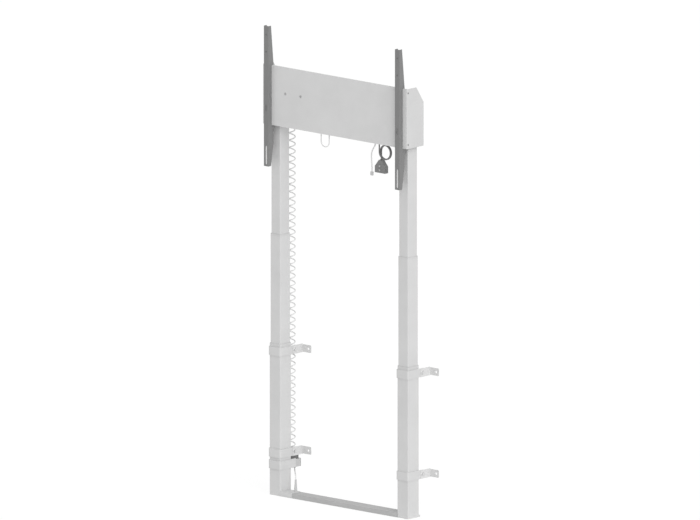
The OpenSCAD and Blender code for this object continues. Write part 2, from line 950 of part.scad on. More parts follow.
// Arm: a folded channel whose flanges hook over and under the panel, with a tooth behind the top lip
module arm(side) {
    tip_back = arm_front + arm_tip_d;
    flange = [
        [arm_front, arm_bottom],
        [tip_back, arm_bottom],
        [arm_root_back, hook_low - arm_hook_len],
        [arm_root_back, hook_low],
        [notch_back, hook_low],
        [notch_back, hook_high],
        [tooth_front, hook_high],
        [tooth_front, hook_high - tooth_drop],
        [arm_root_back, hook_high - tooth_drop],
        [arm_root_back, hook_high],
        [tip_back, arm_top],
        [arm_front, arm_top]
    ];
    color(dark_grey)
        translate([side * arm_x, 0, 0])
            difference() {
                union() {
                    plate_along_x(flange, -arm_w / 2, -arm_w / 2 + arm_t);
                    plate_along_x(flange, arm_w / 2 - arm_t, arm_w / 2);
                    box(-arm_w / 2, arm_w / 2, arm_front, arm_front + arm_t, arm_bottom, arm_top);
                }
                plate_along_y(
                    [for (p = slot_outline(arm_slot_w, arm_slot_len)) p + [0, long_slot_z]],
                    arm_front - through, arm_front + arm_t + through
                );
                plate_along_y(
                    [for (p = slot_outline(arm_slot_w, short_slot_len)) p + [0, short_slot_z]],
                    arm_front - through, arm_front + arm_t + through
                );
                for (z = arm_holes)
                    rod_y(arm_hole_dia, arm_front - through, arm_front + arm_t + through, 0, z);
            }
}

// One module for each sub-part of a pair
module foot_plate_left() {
    foot_plate(left);
}

module foot_plate_right() {
    foot_plate(right);
}

module outer_tube_left() {
    outer_tube(left);
}

module outer_tube_right() {
    outer_tube(right);
}

module outer_cap_left() {
    outer_cap(left);
}

module outer_cap_right() {
    outer_cap(right);
}

module gear_motor_left() {
    gear_motor(left);
}

module gear_motor_right() {
    gear_motor(right);
}

module collar_low_left() {
    wall_collar(left, collar_low_z);
}

module collar_low_right() {
    wall_collar(right, collar_low_z);
}

module collar_high_left() {
    wall_collar(left, collar_high_z);
}

module collar_high_right() {
    wall_collar(right, collar_high_z);
}

module brackets_low_left() {
    bracket_pair(left, collar_low_z);
}

module brackets_low_right() {
    bracket_pair(right, collar_low_z);
}

module brackets_high_left() {
    bracket_pair(left, collar_high_z);
}

module brackets_high_right() {
    bracket_pair(right, collar_high_z);
}

module drive_screw_left() {
    drive_screw(left);
}

module drive_screw_right() {
    drive_screw(right);
}

module mid_tube_left() {
    mid_tube(left);
}

module mid_tube_right() {
    mid_tube(right);
}

module mid_cap_left() {
    mid_cap(left);
}

module mid_cap_right() {
    mid_cap(right);
}

module mid_slider_left() {
    mid_slider(left);
}

module mid_slider_right() {
    mid_slider(right);
}

module mid_nut_left() {
    mid_nut(left);
}

module mid_nut_right() {
    mid_nut(right);
}

module hollow_screw_left() {
    hollow_screw(left);
}

module hollow_screw_right() {
    hollow_screw(right);
}

module inner_tube_left() {
    inner_tube(left);
}

module inner_tube_right() {
    inner_tube(right);
}

module inner_slider_left() {
    inner_slider(left);
}

module inner_slider_right() {
    inner_slider(right);
}

module inner_nut_left() {
    inner_nut(left);
}

module inner_nut_right() {
    inner_nut(right);
}

module panel_rail_left() {
    panel_rail(left);
}

module panel_rail_right() {
    panel_rail(right);
}

module end_plate_left() {
    end_plate(left);
}

module end_plate_right() {
    end_plate(right);
}

module arm_left() {
    arm(left);
}

module arm_right() {
    arm(right);
}

module up_button() {
    hand_button(up_z);
}

module down_button() {
    hand_button(down_z);
}

foot_plate_left();
foot_plate_right();
base_bar();
bar_cover();
outer_tube_left();
outer_tube_right();
outer_cap_left();
outer_cap_right();
gear_motor_left();
gear_motor_right();
collar_low_left();
collar_low_right();
collar_high_left();
collar_high_right();
brackets_low_left();
brackets_low_right();
brackets_high_left();
brackets_high_right();
collar_bolts();
socket_collar();
junction_box();
cord_plug();
feed_lead();
feed_sleeve();
curly_cord();
drive_screw_left();
drive_screw_right();
mid_tube_left();
mid_tube_right();
mid_cap_left();
mid_cap_right();
mid_slider_left();
mid_slider_right();
mid_nut_left();
mid_nut_right();
hollow_screw_left();
hollow_screw_right();
inner_tube_left();
inner_tube_right();
inner_slider_left();
inner_slider_right();
inner_nut_left();
inner_nut_right();
panel_rail_left();
panel_rail_right();
front_panel();
end_plate_left();
end_plate_right();
cross_tube();
control_box();
cord_anchor();
link_lead();
signal_lead();
signal_plug();
hand_lead();
hand_control();
up_button();
down_button();
arm_left();
arm_right();
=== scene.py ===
"""Looks of a motorised panel lift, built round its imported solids.

Two telescoping columns raise a folded front panel with two hooked arms. Every piece is in metres and in
the frame of the solids: origin on the floor midway between the columns, front towards -Y, +Z up.
"""

from __future__ import annotations

import logging
import math
from dataclasses import dataclass, field
from enum import Enum
from typing import Iterable, Sequence

import bmesh
import bpy
from mathutils import Matrix, Vector


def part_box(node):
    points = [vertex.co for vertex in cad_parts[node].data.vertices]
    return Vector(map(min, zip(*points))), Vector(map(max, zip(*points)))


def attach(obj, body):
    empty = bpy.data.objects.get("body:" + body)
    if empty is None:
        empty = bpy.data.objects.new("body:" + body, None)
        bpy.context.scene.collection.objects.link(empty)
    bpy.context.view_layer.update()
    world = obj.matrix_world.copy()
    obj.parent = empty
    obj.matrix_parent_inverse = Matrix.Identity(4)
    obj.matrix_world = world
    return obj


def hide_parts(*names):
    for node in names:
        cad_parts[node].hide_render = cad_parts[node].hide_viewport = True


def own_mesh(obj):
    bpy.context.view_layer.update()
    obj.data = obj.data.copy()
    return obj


LOG = logging.getLogger("panel_lift")
MM = 0.001
SIDES = ("left", "right")
Route = Sequence[tuple[float, float, float]]


class Grain(Enum):
    """Fine surface structures that the finishes choose from."""

    POWDER = "powder"
    MOULDED = "moulded"
    BRUSHED = "brushed"
    JACKET = "jacket"
    THREAD = "thread"


@dataclass(frozen=True)
class GrainSize:
    """Scale and strength of one fine surface structure.

    Attributes:
        scale: Cells of the noise per metre.
        stretch: Scale of the noise along X, Y and Z.
        height: Height of the relief, in metres.
        strength: Strength of the relief.
    """

    scale: float
    stretch: tuple[float, float, float]
    height: float
    strength: float


GRAIN_SIZES: dict[Grain, GrainSize] = {
    Grain.POWDER: GrainSize(scale=700.0, stretch=(1.0, 1.0, 1.0), height=0.00006, strength=0.35),
    Grain.MOULDED: GrainSize(scale=1500.0, stretch=(1.0, 1.0, 1.0), height=0.00004, strength=0.30),
    Grain.BRUSHED: GrainSize(scale=900.0, stretch=(1.0, 1.0, 0.04), height=0.00003, strength=0.25),
    Grain.JACKET: GrainSize(scale=500.0, stretch=(1.0, 1.0, 1.0), height=0.00003, strength=0.20),
    Grain.THREAD: GrainSize(scale=78.5, stretch=(1.0, 1.0, 1.0), height=0.0006, strength=0.60),
}
GRAIN_DETAIL = 2.0


@dataclass(frozen=True)
class Patches:
    """Soft patches of a noise over a surface.

    Attributes:
        scale: Cells of the noise per metre.
        detail: Octaves of the noise.
    """

    scale: float
    detail: float


TONE_PATCHES = Patches(9.0, 6.0)
TONE_SPAN = (0.3, 0.7)
GLOSS_PATCHES = Patches(25.0, 5.0)
GLOSS_SPREAD = 0.08
RUBBED_PATCHES = Patches(60.0, 4.0)
RUBBED_LIGHTEST = 0.95
RUBBED_RADIUS = 1.2 * MM
RUBBED_SAMPLES = 4
RUBBED_TURN = (0.99, 0.85)
SMOOTH_ANGLE = math.radians(32.0)
ROUNDED_ANGLE = math.radians(50.0)
ROUNDED_STEPS = 2


@dataclass(frozen=True)
class Finish:
    """One grey finish of the lift.

    Attributes:
        name: Name of the finish.
        slot: Material slot of the record that it stands for; not used.
        tone: Linear grey of the surface.
        grain: Fine structure of the surface.
        roughness: Middle roughness.
        metallic: Share of bare metal.
        spread: Share by which the tone drifts over the surface.
        wear: Share by which edges are rubbed lighter.
        coat: Weight of a clear top layer.
    """

    name: str
    slot: str
    tone: float
    grain: Grain
    roughness: float
    metallic: float = 0.0
    spread: float = 0.03
    wear: float = 0.0
    coat: float = 0.0

    def material(self) -> bpy.types.Material:
        """Build the finish's material, or return the one already built.

        Returns:
            The material.
        """
        label = f"{self.name}_finish"
        found = bpy.data.materials.get(label)
        if found:
            return found
        material = bpy.data.materials.new(label)
        material.use_nodes = True
        tree = material.node_tree
        shader = tree.nodes["Principled BSDF"]
        shader.inputs["Metallic"].default_value = self.metallic
        shader.inputs["Coat Weight"].default_value = self.coat
        place = tree.nodes.new("ShaderNodeTexCoord")
        self._colour(tree, place, shader)
        self._roughness(tree, place, shader)
        self._relief(tree, place, shader)
        return material

    def _noise(
        self, tree: bpy.types.NodeTree, place: bpy.types.Node, patches: Patches,
        stretch: tuple[float, float, float] = (1.0, 1.0, 1.0),
    ) -> bpy.types.NodeSocket:
        """Add a noise that lies on the object.

        Args:
            tree: Node tree of the material.
            place: Texture coordinate node.
            patches: Patches of the noise.
            stretch: Scale along each axis.

        Returns:
            The noise's value.
        """
        mapping = tree.nodes.new("ShaderNodeMapping")
        mapping.inputs["Scale"].default_value = stretch
        noise = tree.nodes.new("ShaderNodeTexNoise")
        noise.inputs["Scale"].default_value = patches.scale
        noise.inputs["Detail"].default_value = patches.detail
        tree.links.new(place.outputs["Object"], mapping.inputs["Vector"])
        tree.links.new(mapping.outputs["Vector"], noise.inputs["Vector"])
        return noise.outputs["Fac"]

    def _turns(self, tree: bpy.types.NodeTree, place: bpy.types.Node, scale: float) -> bpy.types.NodeSocket:
        """Add even bands along the object's height, as the turns of a thread.

        Args:
            tree: Node tree of the material.
            place: Texture coordinate node.
            scale: Scale of the bands.

        Returns:
            The bands' value.
        """
        wave = tree.nodes.new("ShaderNodeTexWave")
        wave.bands_direction = "Z"
        wave.inputs["Scale"].default_value = scale
        tree.links.new(place.outputs["Object"], wave.inputs["Vector"])
        return wave.outputs["Fac"]

    def _colour(self, tree: bpy.types.NodeTree, place: bpy.types.Node, shader: bpy.types.Node) -> None:
        """Let the tone drift over the surface and rub the edges lighter.

        Args:
            tree: Node tree of the material.
            place: Texture coordinate node.
            shader: Shader of the material.
        """
        ramp = tree.nodes.new("ShaderNodeValToRGB")
        low = self.tone * (1.0 - self.spread)
        high = self.tone * (1.0 + self.spread)
        for element, position, tone in zip(ramp.color_ramp.elements, TONE_SPAN, (low, high)):
            element.position = position
            element.color = (tone, tone, tone, 1.0)
        tree.links.new(self._noise(tree, place, TONE_PATCHES), ramp.inputs["Fac"])
        if not self.wear:
            tree.links.new(ramp.outputs["Color"], shader.inputs["Base Color"])
            return
        mix = tree.nodes.new("ShaderNodeMix")
        mix.data_type = "RGBA"
        rubbed = min(RUBBED_LIGHTEST, self.tone * (1.0 + self.wear))
        mix.inputs["B"].default_value = (rubbed, rubbed, rubbed, 1.0)
        tree.links.new(self._edges(tree, place), mix.inputs["Factor"])
        tree.links.new(ramp.outputs["Color"], mix.inputs["A"])
        tree.links.new(mix.outputs["Result"], shader.inputs["Base Color"])

    def _edges(self, tree: bpy.types.NodeTree, place: bpy.types.Node) -> bpy.types.NodeSocket:
        """Find the edges of the surface, broken up by a noise.

        Args:
            tree: Node tree of the material.
            place: Texture coordinate node.

        Returns:
            A share from 0 on flat faces to 1 on edges.
        """
        rounded = tree.nodes.new("ShaderNodeBevel")
        rounded.samples = RUBBED_SAMPLES
        rounded.inputs["Radius"].default_value = RUBBED_RADIUS
        flat = tree.nodes.new("ShaderNodeNewGeometry")
        dot = tree.nodes.new("ShaderNodeVectorMath")
        dot.operation = "DOT_PRODUCT"
        tree.links.new(rounded.outputs["Normal"], dot.inputs[0])
        tree.links.new(flat.outputs["Normal"], dot.inputs[1])
        turned = tree.nodes.new("ShaderNodeMapRange")
        turned.inputs["From Min"].default_value, turned.inputs["From Max"].default_value = RUBBED_TURN
        tree.links.new(dot.outputs["Value"], turned.inputs["Value"])
        broken = tree.nodes.new("ShaderNodeMath")
        broken.operation = "MULTIPLY"
        tree.links.new(turned.outputs["Result"], broken.inputs[0])
        tree.links.new(self._noise(tree, place, RUBBED_PATCHES), broken.inputs[1])
        return broken.outputs["Value"]

    def _roughness(self, tree: bpy.types.NodeTree, place: bpy.types.Node, shader: bpy.types.Node) -> None:
        """Vary the roughness in soft patches.

        Args:
            tree: Node tree of the material.
            place: Texture coordinate node.
            shader: Shader of the material.
        """
        span = tree.nodes.new("ShaderNodeMapRange")
        span.inputs["To Min"].default_value = self.roughness - GLOSS_SPREAD
        span.inputs["To Max"].default_value = self.roughness + GLOSS_SPREAD
        tree.links.new(self._noise(tree, place, GLOSS_PATCHES), span.inputs["Value"])
        tree.links.new(span.outputs["Result"], shader.inputs["Roughness"])

    def _relief(self, tree: bpy.types.NodeTree, place: bpy.types.Node, shader: bpy.types.Node) -> None:
        """Raise the fine structure of the surface.

        Args:
            tree: Node tree of the material.
            place: Texture coordinate node.
            shader: Shader of the material.
        """
        size = GRAIN_SIZES[self.grain]
        bump = tree.nodes.new("ShaderNodeBump")
        bump.inputs["Strength"].default_value = size.strength
        bump.inputs["Distance"].default_value = size.height
        if self.grain is Grain.THREAD:
            height = self._turns(tree, place, size.scale)
        else:
            height = self._noise(tree, place, Patches(size.scale, GRAIN_DETAIL), size.stretch)
        tree.links.new(height, bump.inputs["Height"])
        tree.links.new(bump.outputs["Normal"], shader.inputs["Normal"])


COLUMN_PAINT = Finish("column_powder_coat", "column_paint", 0.60, Grain.POWDER, 0.48, wear=0.15)
PLATE_PAINT = Finish("plate_powder_coat", "plate_paint", 0.61, Grain.POWDER, 0.50, wear=0.15)
PANEL_PAINT = Finish("panel_powder_coat", "panel_paint", 0.62, Grain.POWDER, 0.50, wear=0.12)
END_PAINT = Finish("end_powder_coat", "plate_paint", 0.585, Grain.POWDER, 0.50, wear=0.15)
ARM_PAINT = Finish("arm_powder_coat", "arm_paint", 0.20, Grain.POWDER, 0.55, wear=0.35)
BAR_PAINT = Finish("bar_powder_coat", "bar_paint", 0.44, Grain.POWDER, 0.55, wear=0.2)
MOTOR_PAINT = Finish("motor_black", "motor_paint", 0.10, Grain.POWDER, 0.45)
CAP_PLASTIC = Finish("cap_plastic", "cap_plastic", 0.58, Grain.MOULDED, 0.55)
NUT_PLASTIC = Finish("nut_plastic", "nut_plastic", 0.30, Grain.MOULDED, 0.5)
BOX_PLASTIC = Finish("box_plastic", "box_plastic", 0.52, Grain.MOULDED, 0.6)
PLUG_PLASTIC = Finish("plug_plastic", "plug_plastic", 0.16, Grain.MOULDED, 0.5)
HAND_PLASTIC = Finish("hand_plastic", "hand_plastic", 0.20, Grain.MOULDED, 0.5)
BUTTON_PLASTIC = Finish("button_plastic", "button_plastic", 0.28, Grain.MOULDED, 0.45)
MARK_INK = Finish("button_mark", "button_plastic", 0.62, Grain.MOULDED, 0.6)
CORD_GREY = Finish("cord_grey", "cord_grey", 0.73, Grain.JACKET, 0.45)
CORD_DARK = Finish("cord_dark", "cord_dark", 0.19, Grain.JACKET, 0.5)
BRACKET_PAINT = Finish("bracket_powder_coat", "plate_paint", 0.66, Grain.POWDER, 0.50, wear=0.10)
WIPER_FELT = Finish("wiper_felt", "nut_plastic", 0.54, Grain.JACKET, 0.9, spread=0.08)
GROMMET_RUBBER = Finish("grommet_rubber", "cord_dark", 0.40, Grain.JACKET, 0.6)
# Light sheet behind the arms' long slots: painted light, standing for the bright view through the open slot.
SLOT_LIGHT_PAINT = Finish("painted_slot_light", "cap_plastic", 0.74, Grain.MOULDED, 0.5)
THREADED_STEEL = Finish("threaded_steel", "steel", 0.56, Grain.THREAD, 0.3, metallic=1.0)
ZINC = Finish("zinc_steel", "steel", 0.80, Grain.BRUSHED, 0.42, metallic=1.0, spread=0.06)

SCREW_STEEL = Finish("dark_screw_steel", "steel", 0.34, Grain.BRUSHED, 0.40, metallic=1.0, spread=0.06)


def smooth_by_angle() -> bpy.types.NodeTree:
    """Build the modifier that shades round faces smooth and keeps sharp edges.

    Returns:
        The node group, made once.
    """
    found = bpy.data.node_groups.get("smooth_by_angle")
    if found:
        return found
    group = bpy.data.node_groups.new("smooth_by_angle", "GeometryNodeTree")
    group.interface.new_socket("Geometry", in_out="INPUT", socket_type="NodeSocketGeometry")
    group.interface.new_socket("Geometry", in_out="OUTPUT", socket_type="NodeSocketGeometry")
    start = group.nodes.new("NodeGroupInput")
    end = group.nodes.new("NodeGroupOutput")
    faces = group.nodes.new("GeometryNodeSetShadeSmooth")
    faces.domain = "FACE"
    edges = group.nodes.new("GeometryNodeSetShadeSmooth")
    edges.domain = "EDGE"
    edges.inputs["Shade Smooth"].default_value = False
    angle = group.nodes.new("GeometryNodeInputMeshEdgeAngle")
    sharp = group.nodes.new("FunctionNodeCompare")
    sharp.data_type = "FLOAT"
    sharp.operation = "GREATER_THAN"
    sharp.inputs["B"].default_value = SMOOTH_ANGLE
    group.links.new(start.outputs["Geometry"], faces.inputs["Geometry"])
    group.links.new(faces.outputs["Geometry"], edges.inputs["Geometry"])
    group.links.new(angle.outputs["Unsigned Angle"], sharp.inputs["A"])
    group.links.new(sharp.outputs["Result"], edges.inputs["Selection"])
    group.links.new(edges.outputs["Geometry"], end.inputs["Geometry"])
    return group


def soften(piece: bpy.types.Object, bevel: float) -> None:
    """Round a piece's sharp edges and shade its curves smooth.

    Args:
        piece: Object to soften.
        bevel: Width of the rounding in metres, or 0 for none.
    """
    shading = piece.modifiers.new("smooth_shading", "NODES")
    shading.node_group = smooth_by_angle()
    if bevel:
        rounding = piece.modifiers.new("edge_rounding", "BEVEL")
        rounding.width = bevel
        rounding.segments = ROUNDED_STEPS
        rounding.limit_method = "ANGLE"
        rounding.angle_limit = ROUNDED_ANGLE
        rounding.harden_normals = True


def dress(nodes: Iterable[str], finish: Finish, bevel: float = 0.0) -> None:
    """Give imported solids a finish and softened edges.

    Args:
        nodes: Names of the solids.
        finish: Their finish.
        bevel: Width of the edge rounding in metres.
    """
    material = finish.material()
    for node in nodes:
        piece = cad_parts[node]
        if not piece.material_slots:
            piece.data.materials.append(material)
        for slot in piece.material_slots:
            slot.material = material
        soften(piece, bevel)
        LOG.info("dressed %s with %s", node, finish.name)


def add_piece(
    name: str, mesh: bmesh.types.BMesh, finish: Finish, body: str, bevel: float = 0.0,
) -> bpy.types.Object:
    """Turn a mesh into a piece that rides on a body.

    Args:
        name: Name of the piece.
        mesh: Its mesh, which is freed.
        finish: Its finish.
        body: Body that carries it.
        bevel: Width of the edge rounding in metres.

    Returns:
        The piece.
    """
    bmesh.ops.recalc_face_normals(mesh, faces=mesh.faces)
    data = bpy.data.meshes.new(name)
    mesh.to_mesh(data)
    mesh.free()
    piece = bpy.data.objects.new(name, data)
    bpy.context.scene.collection.objects.link(piece)
    data.materials.append(finish.material())
    soften(piece, bevel)
    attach(piece, body)
    LOG.info("made %s on %s", name, body)
    return piece


def both_sides(*stems: str) -> list[str]:
    """Name the left and right solid of each stem.

    Args:
        stems: Names without their side.

    Returns:
        The names with their sides.
    """
    return [f"{stem}_{side}" for stem in stems for side in SIDES]


@dataclass(frozen=True)
class Turning:
    """A round piece drawn by its profile and set along an axis.

    Attributes:
        profile: Pairs of radius and height along the axis, in metres.
        steps: Facets round the axis.
        ring: Whether the profile closes on itself round an open middle.
    """

    profile: Sequence[tuple[float, float]]
    steps: int = 32
    ring: bool = False

    def add_to(self, mesh: bmesh.types.BMesh, base: Vector, axis: Vector) -> None:
        """Add the turned piece to a mesh.

        Args:
            mesh: Mesh to add to.
            base: Point on the axis at height 0.
            axis: Direction of the axis.
        """
        turn = axis.normalized().to_track_quat("Z", "Y").to_matrix().to_4x4()
        place = Matrix.Translation(base) @ turn
        rings = []
        for radius, height in self.profile:
            ring = []
            for k in range(self.steps):
                angle = math.tau * k / self.steps
                point = Vector((radius * math.cos(angle), radius * math.sin(angle), height))
                ring.append(mesh.verts.new(place @ point))
            rings.append(ring)
        following = rings[1:] + rings[:1] if self.ring else rings[1:]
        for low, high in zip(rings, following):
            for k in range(self.steps):
                after = (k + 1) % self.steps
                mesh.faces.new((low[k], low[after], high[after], high[k]))
        if not self.ring:
            mesh.faces.new(list(reversed(rings[0])))
            mesh.faces.new(rings[-1])


@dataclass(frozen=True)
class Jacket:
    """A cord's round jacket, swept along a path.

    Attributes:
        diameter: Diameter of the jacket in metres.
        sides: Facets round the jacket.
    """

    diameter: float
    sides: int = 12

    def mesh(self, path: Sequence[Vector]) -> bmesh.types.BMesh:
        """Sweep the jacket along a path.

        Args:
            path: Centres of the rings.

        Returns:
            The closed tube.
        """
        mesh = bmesh.new()
        heading = (path[1] - path[0]).normalized()
        across = heading.orthogonal().normalized()
        rings = []
        for i, centre in enumerate(path):
            heading = (path[min(i + 1, len(path) - 1)] - path[max(i - 1, 0)]).normalized()
            across = (across - heading * across.dot(heading)).normalized()
            beside = heading.cross(across)
            ring = []
            for k in range(self.sides):
                angle = math.tau * k / self.sides
                offset = across * math.cos(angle) + beside * math.sin(angle)
                ring.append(mesh.verts.new(centre + offset * self.diameter / 2))
            rings.append(ring)
        for low, high in zip(rings, rings[1:]):
            for k in range(self.sides):
                after = (k + 1) % self.sides
                mesh.faces.new((low[k], low[after], high[after], high[k]))
        mesh.faces.new(list(reversed(rings[0])))
        mesh.faces.new(rings[-1])
        return mesh


def rounded_route(points: Sequence[Vector], steps: int = 4) -> list[Vector]:
    """Draw a smooth curve through a route's points.

    Args:
        points: Points of the route.
        steps: Points of the curve for each stretch of the route.

    Returns:
        Points of the curve, ends included.
    """
    curve = []
    for i in range(len(points) - 1):
        before = points[max(i - 1, 0)]
        start, end = points[i], points[i + 1]
        after = points[min(i + 2, len(points) - 1)]
        for k in range(steps):
            t = k / steps
            curve.append(
                0.5 * (
                    2 * start
                    + (end - before) * t
                    + (2 * before - 5 * start + 4 * end - after) * t ** 2
                    + (3 * start - before - 3 * end + after) * t ** 3
                )
            )
    curve.append(points[-1])
    return curve


@dataclass
class Studio:
    """Camera, floor and light.

    Attributes:
        azimuth: Camera's angle round the lift from the front, in degrees.
        elevation: Camera's angle above the floor, in degrees.
        target: Point in the middle of the picture.
        width: Width of the picture at the lift, in metres.
        distance: Distance of the camera from the target.
        sky: Strength of the even sky.
        lamp: Strength of the lamp.
        lamp_angle: Width of the lamp as seen from the lift, in degrees.
        lamp_from: Direction that the lamp shines from.
        floor_size: Half the side of the floor.
        floor_drop: Distance of the floor below the feet.
        floor_tone: Grey and roughness of the floor.
        floor_glow: Strength of the floor's own white.
        floor_share: Share of that white where the floor is seen.
    """

    azimuth: float = 42.0
    elevation: float = 11.6
    target: Vector = field(default_factory=lambda: Vector((0.0665, -0.0346, 1.1522)))
    width: float = 3.176
    distance: float = 8.0
    sky: float = 0.72
    lamp: float = 1.41
    lamp_angle: float = 50.0
    lamp_from: tuple[float, float, float] = (0.78, -0.40, 0.48)
    floor_size: float = 12.0
    floor_drop: float = 0.5 * MM
    floor_tone: float = 0.9
    floor_glow: float = 1.04
    floor_share: float = 0.86

    def camera(self) -> None:
        """Make the parallel-projection camera."""
        turn, rise = math.radians(self.azimuth), math.radians(self.elevation)
        back = Vector((math.sin(turn) * math.cos(rise), -math.cos(turn) * math.cos(rise), math.sin(rise)))
        data = bpy.data.cameras.new("camera")
        data.type = "ORTHO"
        data.ortho_scale = self.width
        camera = bpy.data.objects.new("camera", data)
        camera.location = self.target + back * self.distance
        camera.rotation_mode = "QUATERNION"
        camera.rotation_quaternion = (-back).to_track_quat("-Z", "Y")
        bpy.context.scene.collection.objects.link(camera)
        bpy.context.scene.camera = camera

    def light(self) -> None:
        """Make an even sky and one broad lamp from the right."""
        scene = bpy.context.scene
        scene.view_settings.view_transform = "Standard"
        world = bpy.data.worlds.new("sky")
        scene.world = world
        world.use_nodes = True
        tree = world.node_tree
        sky = tree.nodes["Background"]
        sky.inputs["Color"].default_value = (1.0, 1.0, 1.0, 1.0)
        sky.inputs["Strength"].default_value = self.sky
        white = tree.nodes.new("ShaderNodeBackground")
        white.inputs["Color"].default_value = (1.0, 1.0, 1.0, 1.0)
        white.inputs["Strength"].default_value = 1.0
        choose = tree.nodes.new("ShaderNodeMixShader")
        tree.links.new(self._seen(tree), choose.inputs["Fac"])
        tree.links.new(sky.outputs["Background"], choose.inputs[1])
        tree.links.new(white.outputs["Background"], choose.inputs[2])
        tree.links.new(choose.outputs["Shader"], tree.nodes["World Output"].inputs["Surface"])
        data = bpy.data.lights.new("window", "SUN")
        data.energy = self.lamp
        data.angle = math.radians(self.lamp_angle)
        lamp = bpy.data.objects.new("window", data)
        lamp.rotation_mode = "QUATERNION"
        lamp.rotation_quaternion = Vector(self.lamp_from).to_track_quat("Z", "Y")
        scene.collection.objects.link(lamp)

    def _seen(self, tree: bpy.types.NodeTree) -> bpy.types.NodeSocket:
        """Tell rays that show the background from rays that light the lift.

        Args:
            tree: Node tree to add to.

        Returns:
            1 for rays seen by the camera, a gloss or glass, else 0.
        """
        path = tree.nodes.new("ShaderNodeLightPath")
        most = path.outputs["Is Camera Ray"]
        for kind in ("Is Glossy Ray", "Is Transmission Ray"):
            larger = tree.nodes.new("ShaderNodeMath")
            larger.operation = "MAXIMUM"
            tree.links.new(most, larger.inputs[0])
            tree.links.new(path.outputs[kind], larger.inputs[1])
            most = larger.outputs["Value"]
        return most

    def floor(self) -> None:
        """Make a white floor that keeps a faint shadow."""
        mesh = bmesh.new()
        bmesh.ops.create_grid(mesh, x_segments=1, y_segments=1, size=self.floor_size)
        data = bpy.data.meshes.new("floor")
        mesh.to_mesh(data)
        mesh.free()
        floor = bpy.data.objects.new("floor", data)
        floor.location.z = -self.floor_drop
        bpy.context.scene.collection.objects.link(floor)
        material = bpy.data.materials.new("floor_white")
        material.use_nodes = True
        tree = material.node_tree
        shader = tree.nodes["Principled BSDF"]
        shader.inputs["Base Color"].default_value = (self.floor_tone, self.floor_tone, self.floor_tone, 1.0)
        shader.inputs["Roughness"].default_value = self.floor_tone
        glow = tree.nodes.new("ShaderNodeEmission")
        glow.inputs["Strength"].default_value = self.floor_glow
        share = tree.nodes.new("ShaderNodeMath")
        share.operation = "MULTIPLY"
        share.inputs[1].default_value = self.floor_share
        mix = tree.nodes.new("ShaderNodeMixShader")
        tree.links.new(self._seen(tree), share.inputs[0])
        tree.links.new(share.outputs["Value"], mix.inputs["Fac"])
        tree.links.new(shader.outputs["BSDF"], mix.inputs[1])
        tree.links.new(glow.outputs["Emission"], mix.inputs[2])
        tree.links.new(mix.outputs["Shader"], tree.nodes["Material Output"].inputs["Surface"])
        data.materials.append(material)


@dataclass
class CurlyCord:
    """The curly cord between the plug at the foot and the anchor at the head.

    Attributes:
        x: Place of the curls' axis along X.
        y: Place of the curls' axis along Y.
        bottom: Height of the lower end.
        top: Height of the upper end.
        jacket: Diameter of the jacket.
        outer: Outside diameter of the curls.
        curls: Number of curls.
        rings: Rings for each curl.
        sides: Facets round the jacket.
        travel: Travel of the head; not used.
    """

    x: float = -380 * MM
    y: float = 68 * MM
    bottom: float = 174 * MM
    top: float = 1722 * MM
    jacket: float = 5.5 * MM
    outer: float = 35 * MM
    curls: int = 45
    rings: int = 20
    sides: int = 10
    travel: float = 840 * MM

    def path(self) -> list[Vector]:
        """Wind the cord: straight out of each end, and curls between.

        Returns:
            Centres of the jacket's rings.
        """
        steps = self.curls * self.rings
        radius = (self.outer - self.jacket) / 2
        run = self.top - self.bottom - 4 * self.jacket
        points = [Vector((self.x, self.y, z)) for z in (self.bottom, self.bottom + self.jacket)]
        for i in range(steps + 1):
            angle = math.tau * i / self.rings
            share = min(1.0, min(i, steps - i) / self.rings)
            height = self.bottom + 2 * self.jacket + run * i / steps
            points.append(
                Vector((
                    self.x + radius * share * math.cos(angle),
                    self.y + radius * share * math.sin(angle),
                    height,
                ))
            )
        return points + [Vector((self.x, self.y, z)) for z in (self.top - self.jacket, self.top)]

    def build(self) -> None:
        """Make the cord."""
        path = self.path()
        cord = add_piece("curly_cord_jacket", Jacket(self.jacket, self.sides).mesh(path), CORD_GREY, "base")
        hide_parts("curly_cord")
        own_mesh(cord)


@dataclass
class FreeLead:
    """A lead that hangs or runs free.

    Attributes:
        node: Solid that it replaces.
        body: Body that carries it.
        finish: Finish of its jacket.
        diameter: Diameter of its jacket.
        route: Points of its route in millimetres.
        far_end: What its far end is; not used.
        with_pieces: Solids on it; not used.
    """

    node: str
    body: str
    finish: Finish
    diameter: float
    route: Route
    far_end: str = "object"
    with_pieces: Sequence[str] = ()

    def build(self) -> None:
        """Make the lead along its route."""
        path = rounded_route([Vector(point) * MM for point in self.route])
        lead = add_piece(f"{self.node}_jacket", Jacket(self.diameter).mesh(path), self.finish, self.body)
        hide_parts(self.node)


